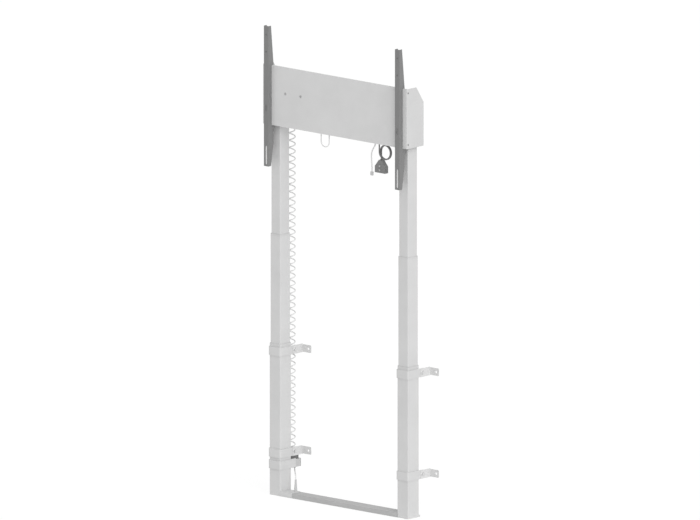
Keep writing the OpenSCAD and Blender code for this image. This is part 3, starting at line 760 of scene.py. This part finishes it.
@dataclass
class Leads:
    """The leads below the panel and at the foot.

    Attributes:
        top: Height of the control box's lower face, in millimetres.
        y: Place of the leads along Y, in millimetres.
        loop_x: Middle of the hand control lead's loops along X.
        loop_drop: Distance of the loops' middle below the control box.
        loop_r: Radius of the loops.
        loop_pitch: Step from loop to loop.
        loop_turns: Number of loops.
        loop_exit: Length of lead below the loops' middle.
        loop_rings: Points of the route for each loop.
        drop_steps: Stretches of the route above the loops.
        exit_steps: Stretches of the route below the loops.
    """

    top: float = 1745.0
    y: float = -34.0
    loop_x: float = 277.0
    loop_drop: float = 67.0
    loop_r: float = 32.0
    loop_pitch: float = 7.3
    loop_turns: int = 2
    loop_exit: float = 39.0
    loop_rings: int = 24
    drop_steps: int = 6
    exit_steps: int = 4

    def hang(self, offsets: Sequence[tuple[float, float]]) -> Route:
        """Place offsets from the control box's lower face.

        Args:
            offsets: Pairs of X and drop.

        Returns:
            Points of the route.
        """
        return [(x, self.y, self.top + drop) for x, drop in offsets]

    def link(self) -> FreeLead:
        """Return the lead that droops in a loop and goes back into the box."""
        return FreeLead(
            "link_lead", "head", CORD_GREY, 5 * MM,
            self.hang([
                (-110, 0), (-110, -11), (-110, -22), (-110, -33), (-110, -44), (-110, -55), (-110, -65),
                (-108.1, -74.4), (-102.8, -82.3), (-94.9, -87.6), (-85.5, -89.5), (-76.1, -87.6),
                (-68.2, -82.3), (-62.9, -74.4), (-61, -65), (-61, -55), (-61, -44), (-61, -33), (-61, -22),
                (-61, -11), (-61, 0),
            ]),
        )

    def signal(self) -> FreeLead:
        """Return the light lead that ends in a small connector."""
        return FreeLead(
            "signal_lead", "head", CORD_GREY, 6 * MM,
            self.hang([
                (225, 0), (225, -10), (224.5, -20), (222.5, -30), (218.5, -40), (213, -49.5), (207, -58.5),
                (201.8, -68), (198.4, -78), (197, -88.5), (197, -99), (197.6, -110), (198.4, -121),
                (199.1, -132), (199.6, -143), (200, -154), (200, -165),
            ]),
            far_end="connector", with_pieces=["signal_plug"],
        )

    def feed(self) -> FreeLead:
        """Return the lead from the junction box to the sleeve on the base bar."""
        offsets = [
            (0, 0, 0), (0, 0, -3), (0.7, -0.7, -8), (2.5, -2.6, -12.4), (5.4, -5.4, -15.5),
            (8.8, -8.9, -16.9), (18, -18.3, -18.3), (27.3, -27.6, -19.7), (36.5, -37, -21.1),
            (45.7, -46.4, -22.4), (55, -55.7, -23.8), (64.2, -65.1, -25.2), (67.6, -68.6, -26.7),
            (70.5, -71.4, -29.8), (72.3, -73.3, -34.1), (73, -74, -39.1), (73, -74, -42.1),
        ]
        route = [(-378 + x, 84 + y, 120 + z) for x, y, z in offsets]
        return FreeLead("feed_lead", "base", CORD_GREY, 6 * MM, route)

    def hand(self) -> FreeLead:
        """Return the hand control's lead: straight down, round its loops, straight down."""
        side = self.loop_x - self.loop_r
        middle = self.top - self.loop_drop
        drop = self.loop_drop / self.drop_steps
        route = [(side, self.y, self.top - drop * i) for i in range(self.drop_steps)]
        for i in range(self.loop_rings * self.loop_turns + 1):
            turn = i / self.loop_rings
            angle = math.pi + math.tau * turn
            route.append((
                self.loop_x + self.loop_r * math.cos(angle),
                self.y + self.loop_pitch * turn,
                middle + self.loop_r * math.sin(angle),
            ))
        last = self.y + self.loop_pitch * self.loop_turns
        fall = self.loop_exit / self.exit_steps
        route += [(side, last, middle - fall * i) for i in range(1, self.exit_steps + 1)]
        return FreeLead("hand_lead", "head", CORD_DARK, 6.5 * MM, route)

    def build(self) -> None:
        """Make every lead."""
        for lead in (self.link(), self.signal(), self.feed(), self.hand()):
            lead.build()


def add_box(mesh: bmesh.types.BMesh, low: Sequence[float], high: Sequence[float]) -> None:
    """Add a box to a mesh.

    Args:
        mesh: Mesh to add to.
        low: Lowest corner in millimetres.
        high: Highest corner in millimetres.
    """
    middle = (Vector(low) + Vector(high)) * MM / 2
    sides = (Vector(high) - Vector(low)) * MM
    place = Matrix.Translation(middle) @ Matrix.Diagonal((*sides, 1.0))
    bmesh.ops.create_cube(mesh, size=1.0, matrix=place)


def add_rounded_slab(
    mesh: bmesh.types.BMesh, low: Sequence[float], high: Sequence[float], radius: float, steps: int = 6,
) -> None:
    """Add a flat block with rounded upright edges to a mesh.

    Args:
        mesh: Mesh to add to.
        low: Lowest corner in metres.
        high: Highest corner in metres.
        radius: Radius of the upright edges in metres.
        steps: Facets of each rounded edge.
    """
    outline = []
    for quarter, (x, y) in enumerate((
        (high[0] - radius, high[1] - radius), (low[0] + radius, high[1] - radius),
        (low[0] + radius, low[1] + radius), (high[0] - radius, low[1] + radius),
    )):
        for k in range(steps + 1):
            angle = math.pi / 2 * (quarter + k / steps)
            outline.append((x + radius * math.cos(angle), y + radius * math.sin(angle)))
    lower = [mesh.verts.new((x, y, low[2])) for x, y in outline]
    upper = [mesh.verts.new((x, y, high[2])) for x, y in outline]
    mesh.faces.new(list(reversed(lower)))
    mesh.faces.new(upper)
    for k in range(len(outline)):
        n = (k + 1) % len(outline)
        mesh.faces.new((lower[k], lower[n], upper[n], upper[k]))


def add_turned_piece(
    name: str, sets: Iterable[tuple[Turning, Route, Vector]], finish: Finish, body: str,
) -> None:
    """Make a piece of turned shapes that ride on one body.

    Args:
        name: Name of the piece.
        sets: Shape, points of its copies' bases in millimetres, and direction that they point in.
        finish: Finish of the piece.
        body: Body that carries it.
    """
    mesh = bmesh.new()
    for shape, places, axis in sets:
        for place in places:
            shape.add_to(mesh, Vector(place) * MM, axis)
    add_piece(name, mesh, finish, body)


def corner_places(low: tuple[float, float], high: tuple[float, float], y: float, inset: float) -> Route:
    """Place one point near each corner of an upright rectangle.

    Args:
        low: Lowest X and Z of the rectangle.
        high: Highest X and Z of the rectangle.
        y: Place of the rectangle along Y.
        inset: Distance of the points from the edges.

    Returns:
        The four points.
    """
    return [
        (x, y, z) for x in (low[0] + inset, high[0] - inset) for z in (low[1] + inset, high[1] - inset)
    ]


def turned_mm(profile: Sequence[tuple[float, float]], steps: int = 32, ring: bool = False) -> Turning:
    """Draw a turned shape in millimetres.

    Args:
        profile: Pairs of radius and height.
        steps: Facets round the axis.
        ring: Whether the profile closes round an open middle.

    Returns:
        The shape.
    """
    return Turning([(radius * MM, height * MM) for radius, height in profile], steps, ring)


LEFT, RIGHT = Vector((-1, 0, 0)), Vector((1, 0, 0))
FRONT, BACK = Vector((0, -1, 0)), Vector((0, 1, 0))
DOWN, UP = Vector((0, 0, -1)), Vector((0, 0, 1))

WASHER = turned_mm([(8.1, 0.0), (10.4, 0.0), (10.4, 1.1), (10.1, 1.4), (8.1, 1.4)], ring=True)
SOCKET_SCREW = turned_mm([(4.0, 0.0), (4.0, 1.0), (3.6, 1.7), (2.8, 2.0), (1.7, 2.0), (1.7, 0.9)], steps=24)
LID_SCREW = turned_mm([(2.6, 0.0), (2.6, 0.7), (2.3, 1.2), (1.2, 1.3), (1.1, 0.6)], steps=20)
CORD_GLAND = turned_mm([(7.4, 0.0), (7.4, 3.0), (6.2, 3.4), (6.2, 4.2), (5.2, 4.6), (4.2, 9.0), (3.7, 9.4)])
CORD_BOOT = turned_mm([(6.4, 0.0), (6.4, 1.6), (5.2, 2.0), (5.0, 3.4), (4.5, 3.7), (4.4, 5.0), (3.6, 5.6)])
ANCHOR_NUT = turned_mm([(8.6, 0.0), (8.6, 4.4), (7.8, 5.0)], steps=6)
ANCHOR_COLLAR = turned_mm([(7.4, 0.0), (7.4, 1.8), (6.4, 2.6), (3.4, 2.8)])
PANEL_GROMMET = turned_mm([(6.4, 0.0), (6.4, 0.7), (5.7, 1.2), (4.9, 1.2), (4.3, 0.2)])


@dataclass
class Columns:
    """The telescoping columns, their feet and what is inside them.

    Attributes:
        edge: Rounding of sheet and tube edges.
        x: Distance of a column's middle from the middle of the lift.
        wiper_w: Outside width and depth of the wipers on the outer and middle caps.
        wiper_gap: Width and depth of the openings in the wipers.
        wiper_z: Heights of the two caps' upper faces.
        wiper_h: Height of a wiper.
        wiper_slope: Width that a wiper loses from its foot to its top.
        plug_t: Thickness of the plugs that close the inner tubes.
        plug_r: Corner radius of those plugs.
    """

    edge: float = 0.6 * MM
    x: float = 390.0
    wiper_w: tuple[tuple[float, float], ...] = ((64.0, 72.0), (58.4, 66.4))
    wiper_gap: tuple[tuple[float, float], ...] = ((61.0, 69.0), (55.4, 63.4))
    wiper_z: tuple[float, float] = (702.0, 1209.0)
    wiper_h: float = 1.6
    wiper_slope: float = 1.0
    plug_t: float = 2.4 * MM
    plug_r: float = 3.5 * MM

    def build(self) -> None:
        """Dress the tubes, caps, feet and drive, and add the wipers."""
        dress(both_sides("outer_tube", "mid_tube", "inner_tube"), COLUMN_PAINT)
        dress(both_sides("outer_cap", "mid_cap"), CAP_PLASTIC, self.edge)
        dress(both_sides("mid_slider", "inner_slider"), CAP_PLASTIC)
        dress(both_sides("mid_nut", "inner_nut"), NUT_PLASTIC)
        dress(both_sides("drive_screw", "hollow_screw"), THREADED_STEEL)
        dress(both_sides("gear_motor"), MOTOR_PAINT, self.edge)
        dress(both_sides("foot_plate"), PLATE_PAINT, self.edge)
        dress(["base_bar"], BAR_PAINT, self.edge)
        dress(["bar_cover"], COLUMN_PAINT, self.edge)
        for side, sign in (("left", -1), ("right", 1)):
            self._wiper(f"outer_wiper_{side}", sign, 0, "base")
            self._wiper(f"mid_wiper_{side}", sign, 1, f"{side}_mid")
            self._plug(side)

    def _plug(self, side: str) -> None:
        """Close an inner tube's top with a moulded plug.

        Args:
            side: Side of the column.
        """
        low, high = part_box(f"inner_tube_{side}")
        mesh = bmesh.new()
        top = high[2] + self.plug_t
        add_rounded_slab(mesh, (low[0], low[1], high[2]), (high[0], high[1], top), self.plug_r)
        add_piece(f"tube_plug_{side}", mesh, CAP_PLASTIC, "head", self.edge)

    def _wiper(self, name: str, sign: int, stage: int, body: str) -> None:
        """Make the soft wiper between a cap and the tube that glides through it.

        Args:
            name: Name of the piece.
            sign: -1 for the left column, 1 for the right one.
            stage: 0 for the outer cap, 1 for the middle cap.
            body: Body that carries the wiper.
        """
        mesh = bmesh.new()
        outer_w, outer_d = self.wiper_w[stage]
        inner_w, inner_d = self.wiper_gap[stage]
        low, high = self.wiper_z[stage], self.wiper_z[stage] + self.wiper_h
        loops = []
        for width, depth, z in (
            (outer_w, outer_d, low), (outer_w - self.wiper_slope, outer_d - self.wiper_slope, high),
            (inner_w, inner_d, high), (inner_w, inner_d, low),
        ):
            corners = [(-width, -depth), (width, -depth), (width, depth), (-width, depth)]
            loops.append([mesh.verts.new(Vector((sign * self.x + x / 2, y / 2, z)) * MM) for x, y in corners])
        for ring, after in zip(loops, loops[1:] + loops[:1]):
            for k in range(4):
                n = (k + 1) % 4
                mesh.faces.new((ring[k], ring[n], after[n], after[k]))
        add_piece(name, mesh, WIPER_FELT, body)


@dataclass
class WallBrackets:
    """Collars, wall brackets and their bolts.

    Attributes:
        edge: Rounding of sheet edges.
        x: Distance of a column's middle from the middle of the lift.
        leg: Distance of a bracket leg's outer face from the column's middle.
        y: Place of the bolts along Y.
        heights: Heights of the bolts.
    """

    edge: float = 0.6 * MM
    x: float = 390.0
    leg: float = 40.2
    y: float = 54.0
    heights: tuple[float, float] = (196.0, 667.0)

    def build(self) -> None:
        """Dress the collars, brackets and bolts, and add washers."""
        dress(both_sides("collar_low", "collar_high"), COLUMN_PAINT, self.edge)
        dress(["socket_collar"], COLUMN_PAINT, self.edge)
        dress(both_sides("brackets_low", "brackets_high"), BRACKET_PAINT, self.edge)
        dress(["collar_bolts"], ZINC, self.edge)
        sets = [
            (WASHER, [(middle + offset, self.y, z) for z in self.heights], axis)
            for middle in (-self.x, self.x)
            for offset, axis in ((-self.leg, LEFT), (self.leg, RIGHT))
        ]
        add_turned_piece("bolt_washers", sets, ZINC, "base")


@dataclass
class CordSocket:
    """Junction box, plug and feed sleeve at the left column's foot.

    Attributes:
        edge: Rounding of moulded edges.
        box_x: Left and right face of the junction box.
        box_z: Lower and upper face of the junction box.
        box_back: Rear face of the junction box.
        lid_t: Thickness of the lid.
        lid_rim: Rim of the lid beyond the box.
        screw_in: Distance of the lid's screws from its edges.
        feed: Point where the feed lead leaves the box.
        plug: Point where the curly cord leaves the plug.
    """

    edge: float = 1.0 * MM
    box_x: tuple[float, float] = (-399.8, -356.8)
    box_z: tuple[float, float] = (120.0, 156.0)
    box_back: float = 100.0
    lid_t: float = 2.5
    lid_rim: float = 0.9
    screw_in: float = 6.0
    feed: tuple[float, float, float] = (-378.0, 84.0, 120.0)
    plug: tuple[float, float, float] = (-380.0, 68.0, 174.0)

    def build(self) -> None:
        """Dress the box, plug and sleeve, and add lid, screws, gland and boot."""
        dress(["junction_box", "feed_sleeve"], BOX_PLASTIC, self.edge)
        dress(["cord_plug"], PLUG_PLASTIC, self.edge)
        lid = bmesh.new()
        back = self.box_back + self.lid_t
        add_box(
            lid, (self.box_x[0] - self.lid_rim, self.box_back, self.box_z[0] - self.lid_rim),
            (self.box_x[1] + self.lid_rim, back, self.box_z[1] + self.lid_rim),
        )
        add_piece("junction_lid", lid, BOX_PLASTIC, "base", self.edge)
        low, high = zip(self.box_x, self.box_z)
        places = corner_places(low, high, back, self.screw_in)
        add_turned_piece("junction_screws", [(LID_SCREW, places, BACK)], ZINC, "base")
        add_turned_piece("feed_gland", [(CORD_GLAND, [self.feed], DOWN)], BOX_PLASTIC, "base")
        add_turned_piece("plug_boot", [(CORD_BOOT, [self.plug], UP)], PLUG_PLASTIC, "base")


@dataclass
class Head:
    """Front panel, end plates and what is behind the panel.

    Attributes:
        edge: Rounding of sheet edges.
        box_edge: Rounding of moulded edges.
        end_x: Distance of an end plate's outer face from the middle.
        end_y: Place of the end plates' screws along Y.
        end_z: Heights of the end plates' screws.
        hole_x: Places of the panel's holes along X.
        panel_front: Front face of the panel along Y.
        hole_z: Height of the panel's holes.
        lid_low: Lowest front corner of the control box's lid.
        lid_high: Highest rear corner of the control box's lid.
        lid_screw_in: Distance of the lid's screws from its edges.
        vents: Number of louvres in the lid.
        vent_step: Step from louvre to louvre.
        vent_half: Half the width of a louvre.
        vent_t: Height of a louvre above the lid.
        vent_in: Distance of a louvre's ends from the lid's edges.
        vent_edge: Rounding of the louvres.
        lead_x: Places of the leads along X.
        lead_y: Place of the leads along Y.
        lead_z: Height of the control box's lower face.
        anchor: Point where the curly cord reaches its anchor.
        anchor_t: Thickness of the anchor's plate.
        anchor_screws: Places of the anchor's screws on the rear of its leaf.
    """

    edge: float = 0.6 * MM
    box_edge: float = 2.0 * MM
    end_x: float = 438.0
    end_y: float = -53.0
    end_z: tuple[float, float] = (1739.0, 1978.0)
    hole_x: tuple[float, float] = (-303.0, -210.0)
    panel_front: float = -63.0
    hole_z: float = 1875.0
    lid_low: tuple[float, float, float] = (-119.0, -20.5, 1794.0)
    lid_high: tuple[float, float, float] = (269.0, -18.7, 1850.0)
    lid_screw_in: float = 8.0
    vents: int = 12
    vent_step: float = 9.0
    vent_half: float = 1.6
    vent_t: float = 1.2
    vent_in: float = 14.0
    vent_edge: float = 0.4 * MM
    lead_x: tuple[float, ...] = (-110.0, -61.0, 225.0, 245.0)
    lead_y: float = -34.0
    lead_z: float = 1745.0
    anchor: tuple[float, float, float] = (-380.0, 68.0, 1722.0)
    anchor_t: float = 3.0
    anchor_screws: Route = ((-392.0, 34.4, 1758.0), (-368.0, 34.4, 1758.0))

    def build(self) -> None:
        """Dress the head's solids and add its small pieces."""
        dress(["front_panel"], PANEL_PAINT, self.edge)
        dress(both_sides("end_plate"), END_PAINT, self.edge)
        dress(both_sides("panel_rail"), PLATE_PAINT, self.edge)
        dress(["cross_tube", "cord_anchor"], PLATE_PAINT, self.edge)
        dress(["control_box"], BOX_PLASTIC, self.box_edge)
        dress(["signal_plug"], BOX_PLASTIC, self.edge)
        self._panel_pieces()
        self._control_lid()
        self._glands()

    def _panel_pieces(self) -> None:
        """Add grommets in the panel's holes and screws in the end plates."""
        places = [(x, self.panel_front, self.hole_z) for x in self.hole_x]
        add_turned_piece("panel_grommets", [(PANEL_GROMMET, places, FRONT)], GROMMET_RUBBER, "head")
        sets = [
            (SOCKET_SCREW, [(x, self.end_y, z) for z in self.end_z], axis)
            for x, axis in ((-self.end_x, LEFT), (self.end_x, RIGHT))
        ]
        add_turned_piece("end_plate_screws", sets, SCREW_STEEL, "head")

    def _control_lid(self) -> None:
        """Add the control box's lid with its screws and louvres."""
        lid = bmesh.new()
        add_box(lid, self.lid_low, self.lid_high)
        add_piece("control_lid", lid, BOX_PLASTIC, "head", self.edge)
        back = self.lid_high[1]
        places = corner_places(self.lid_low[::2], self.lid_high[::2], back, self.lid_screw_in)
        add_turned_piece("control_screws", [(LID_SCREW, places, BACK)], ZINC, "head")
        louvres = bmesh.new()
        middle = (self.lid_low[0] + self.lid_high[0]) / 2
        for k in range(self.vents):
            x = middle + self.vent_step * (k - (self.vents - 1) / 2)
            low = (x - self.vent_half, back, self.lid_low[2] + self.vent_in)
            high = (x + self.vent_half, back + self.vent_t, self.lid_high[2] - self.vent_in)
            add_box(louvres, low, high)
        add_piece("control_louvres", louvres, PLUG_PLASTIC, "head", self.vent_edge)

    def _glands(self) -> None:
        """Add the glands under the control box, and the cord's grip and screws at its anchor."""
        places = [(x, self.lead_y, self.lead_z) for x in self.lead_x]
        add_turned_piece("lead_glands", [(CORD_GLAND, places, DOWN)], PLUG_PLASTIC, "head")
        x, y, z = self.anchor
        grip = [(ANCHOR_COLLAR, [self.anchor], DOWN), (ANCHOR_NUT, [(x, y, z + self.anchor_t)], UP)]
        add_turned_piece("anchor_gland", grip, BOX_PLASTIC, "head")
        add_turned_piece("anchor_screws", [(SOCKET_SCREW, self.anchor_screws, BACK)], ZINC, "head")


@dataclass
class Arms:
    """The two hooked arms.

    Attributes:
        edge: Rounding of sheet edges.
        x: Distance of an arm's middle from the middle of the lift.
        web_back: Rear face of the arm's front web along Y.
        strip_t: Thickness of the strips behind the slots and holes.
        strip_w: Width of those strips.
        long_slot: Lower and upper end of the light sheet behind the long slot, painted light seen through the
            open slot.
        short_slot: Lower and upper end of the strip behind the short slot.
        top_holes: Lower and upper end of the strip behind the upper holes.
    """

    edge: float = 0.5 * MM
    x: float = 400.0
    web_back: float = -82.5
    strip_t: float = 1.5
    strip_w: float = 18.0
    long_slot: tuple[float, float] = (1533.0, 1634.0)
    short_slot: tuple[float, float] = (1776.0, 1824.0)
    top_holes: tuple[float, float] = (2040.0, 2160.0)

    def build(self) -> None:
        """Dress the arms and line their slots and holes from behind; the long slots get a light sheet,
        painted light seen through the open slot.
        """
        dress(both_sides("arm"), ARM_PAINT, self.edge)
        for side, sign in (("left", -1), ("right", 1)):
            # The long slot's light sheet is painted light, standing for the bright view through the open
            # slot.
            self._strip(f"slot_light_sheet_{side}", sign, [self.long_slot], SLOT_LIGHT_PAINT, f"{side}_arm")
            spans = [self.short_slot, self.top_holes]
            self._strip(f"nut_strip_{side}", sign, spans, ARM_PAINT, f"{side}_arm")

    def _strip(
        self, name: str, sign: int, spans: Sequence[tuple[float, float]], finish: Finish, body: str,
    ) -> None:
        """Make flat strips on the back of an arm's front web.

        Args:
            name: Name of the piece.
            sign: -1 for the left arm, 1 for the right one.
            spans: Lower and upper end of each strip.
            finish: Finish of the strips.
            body: Body that carries them.
        """
        mesh = bmesh.new()
        for low, high in spans:
            add_box(
                mesh, (sign * self.x - self.strip_w / 2, self.web_back, low),
                (sign * self.x + self.strip_w / 2, self.web_back + self.strip_t, high),
            )
        add_piece(name, mesh, finish, body)


@dataclass
class HandControl:
    """The wired hand control and its buttons.

    Attributes:
        edge: Rounding of the housing.
        button_edge: Rounding of the buttons.
        x: Place of the lead and buttons along X.
        neck: Point where the lead enters the housing.
        face: Front face of the buttons along Y.
        up_z: Height of the upper button's middle.
        down_z: Height of the lower button's middle.
        mark: Half the width of a button's arrow.
        mark_foot: Depth of the arrow's foot below the button's middle.
        mark_tip: Height of the arrow's tip above the button's middle.
        mark_t: Height of the arrow above the button.
    """

    edge: float = 2.0 * MM
    button_edge: float = 0.8 * MM
    x: float = 245.0
    neck: tuple[float, float, float] = (245.0, -19.4, 1639.0)
    face: float = -32.9
    up_z: float = 1611.0
    down_z: float = 1592.0
    mark: float = 3.2
    mark_foot: float = 2.24
    mark_tip: float = 2.88
    mark_t: float = 0.25

    def build(self) -> None:
        """Dress the hand control and add its boot and arrows."""
        dress(["hand_control"], HAND_PLASTIC, self.edge)
        dress(["up_button", "down_button"], BUTTON_PLASTIC, self.button_edge)
        add_turned_piece("hand_boot", [(CORD_BOOT, [self.neck], UP)], HAND_PLASTIC, "head")
        self._arrow("up_arrow", self.up_z, 1, "up_key")
        self._arrow("down_arrow", self.down_z, -1, "down_key")

    def _arrow(self, name: str, z: float, sign: int, body: str) -> None:
        """Raise a triangle on a button.

        Args:
            name: Name of the piece.
            z: Height of the button's middle.
            sign: 1 to point up, -1 to point down.
            body: Body that carries the button.
        """
        mesh = bmesh.new()
        outline = [(-self.mark, -self.mark_foot), (self.mark, -self.mark_foot), (0.0, self.mark_tip)]
        rear = [mesh.verts.new(Vector((self.x + x, self.face, z + sign * h)) * MM) for x, h in outline]
        front = [mesh.verts.new(v.co + FRONT * self.mark_t * MM) for v in rear]
        mesh.faces.new(rear)
        mesh.faces.new(list(reversed(front)))
        for k in range(3):
            n = (k + 1) % 3
            mesh.faces.new((rear[k], front[k], front[n], rear[n]))
        add_piece(name, mesh, MARK_INK, body)


def main() -> None:
    """Build the lift's looks round its solids, camera and cords first."""
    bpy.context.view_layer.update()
    studio = Studio()
    studio.camera()
    CurlyCord().build()
    Leads().build()
    for assembly in (Columns(), WallBrackets(), CordSocket(), Head(), Arms(), HandControl()):
        assembly.build()
        LOG.info("finished %s", type(assembly).__name__)
    studio.light()
    studio.floor()


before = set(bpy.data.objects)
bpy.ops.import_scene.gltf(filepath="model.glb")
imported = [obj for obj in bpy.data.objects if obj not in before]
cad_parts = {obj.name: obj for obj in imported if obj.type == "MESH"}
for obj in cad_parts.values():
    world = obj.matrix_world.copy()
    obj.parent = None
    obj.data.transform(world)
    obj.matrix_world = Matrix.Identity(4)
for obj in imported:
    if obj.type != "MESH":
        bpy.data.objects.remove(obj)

if __name__ == "__main__":
    logging.basicConfig(level=logging.INFO)
    main()
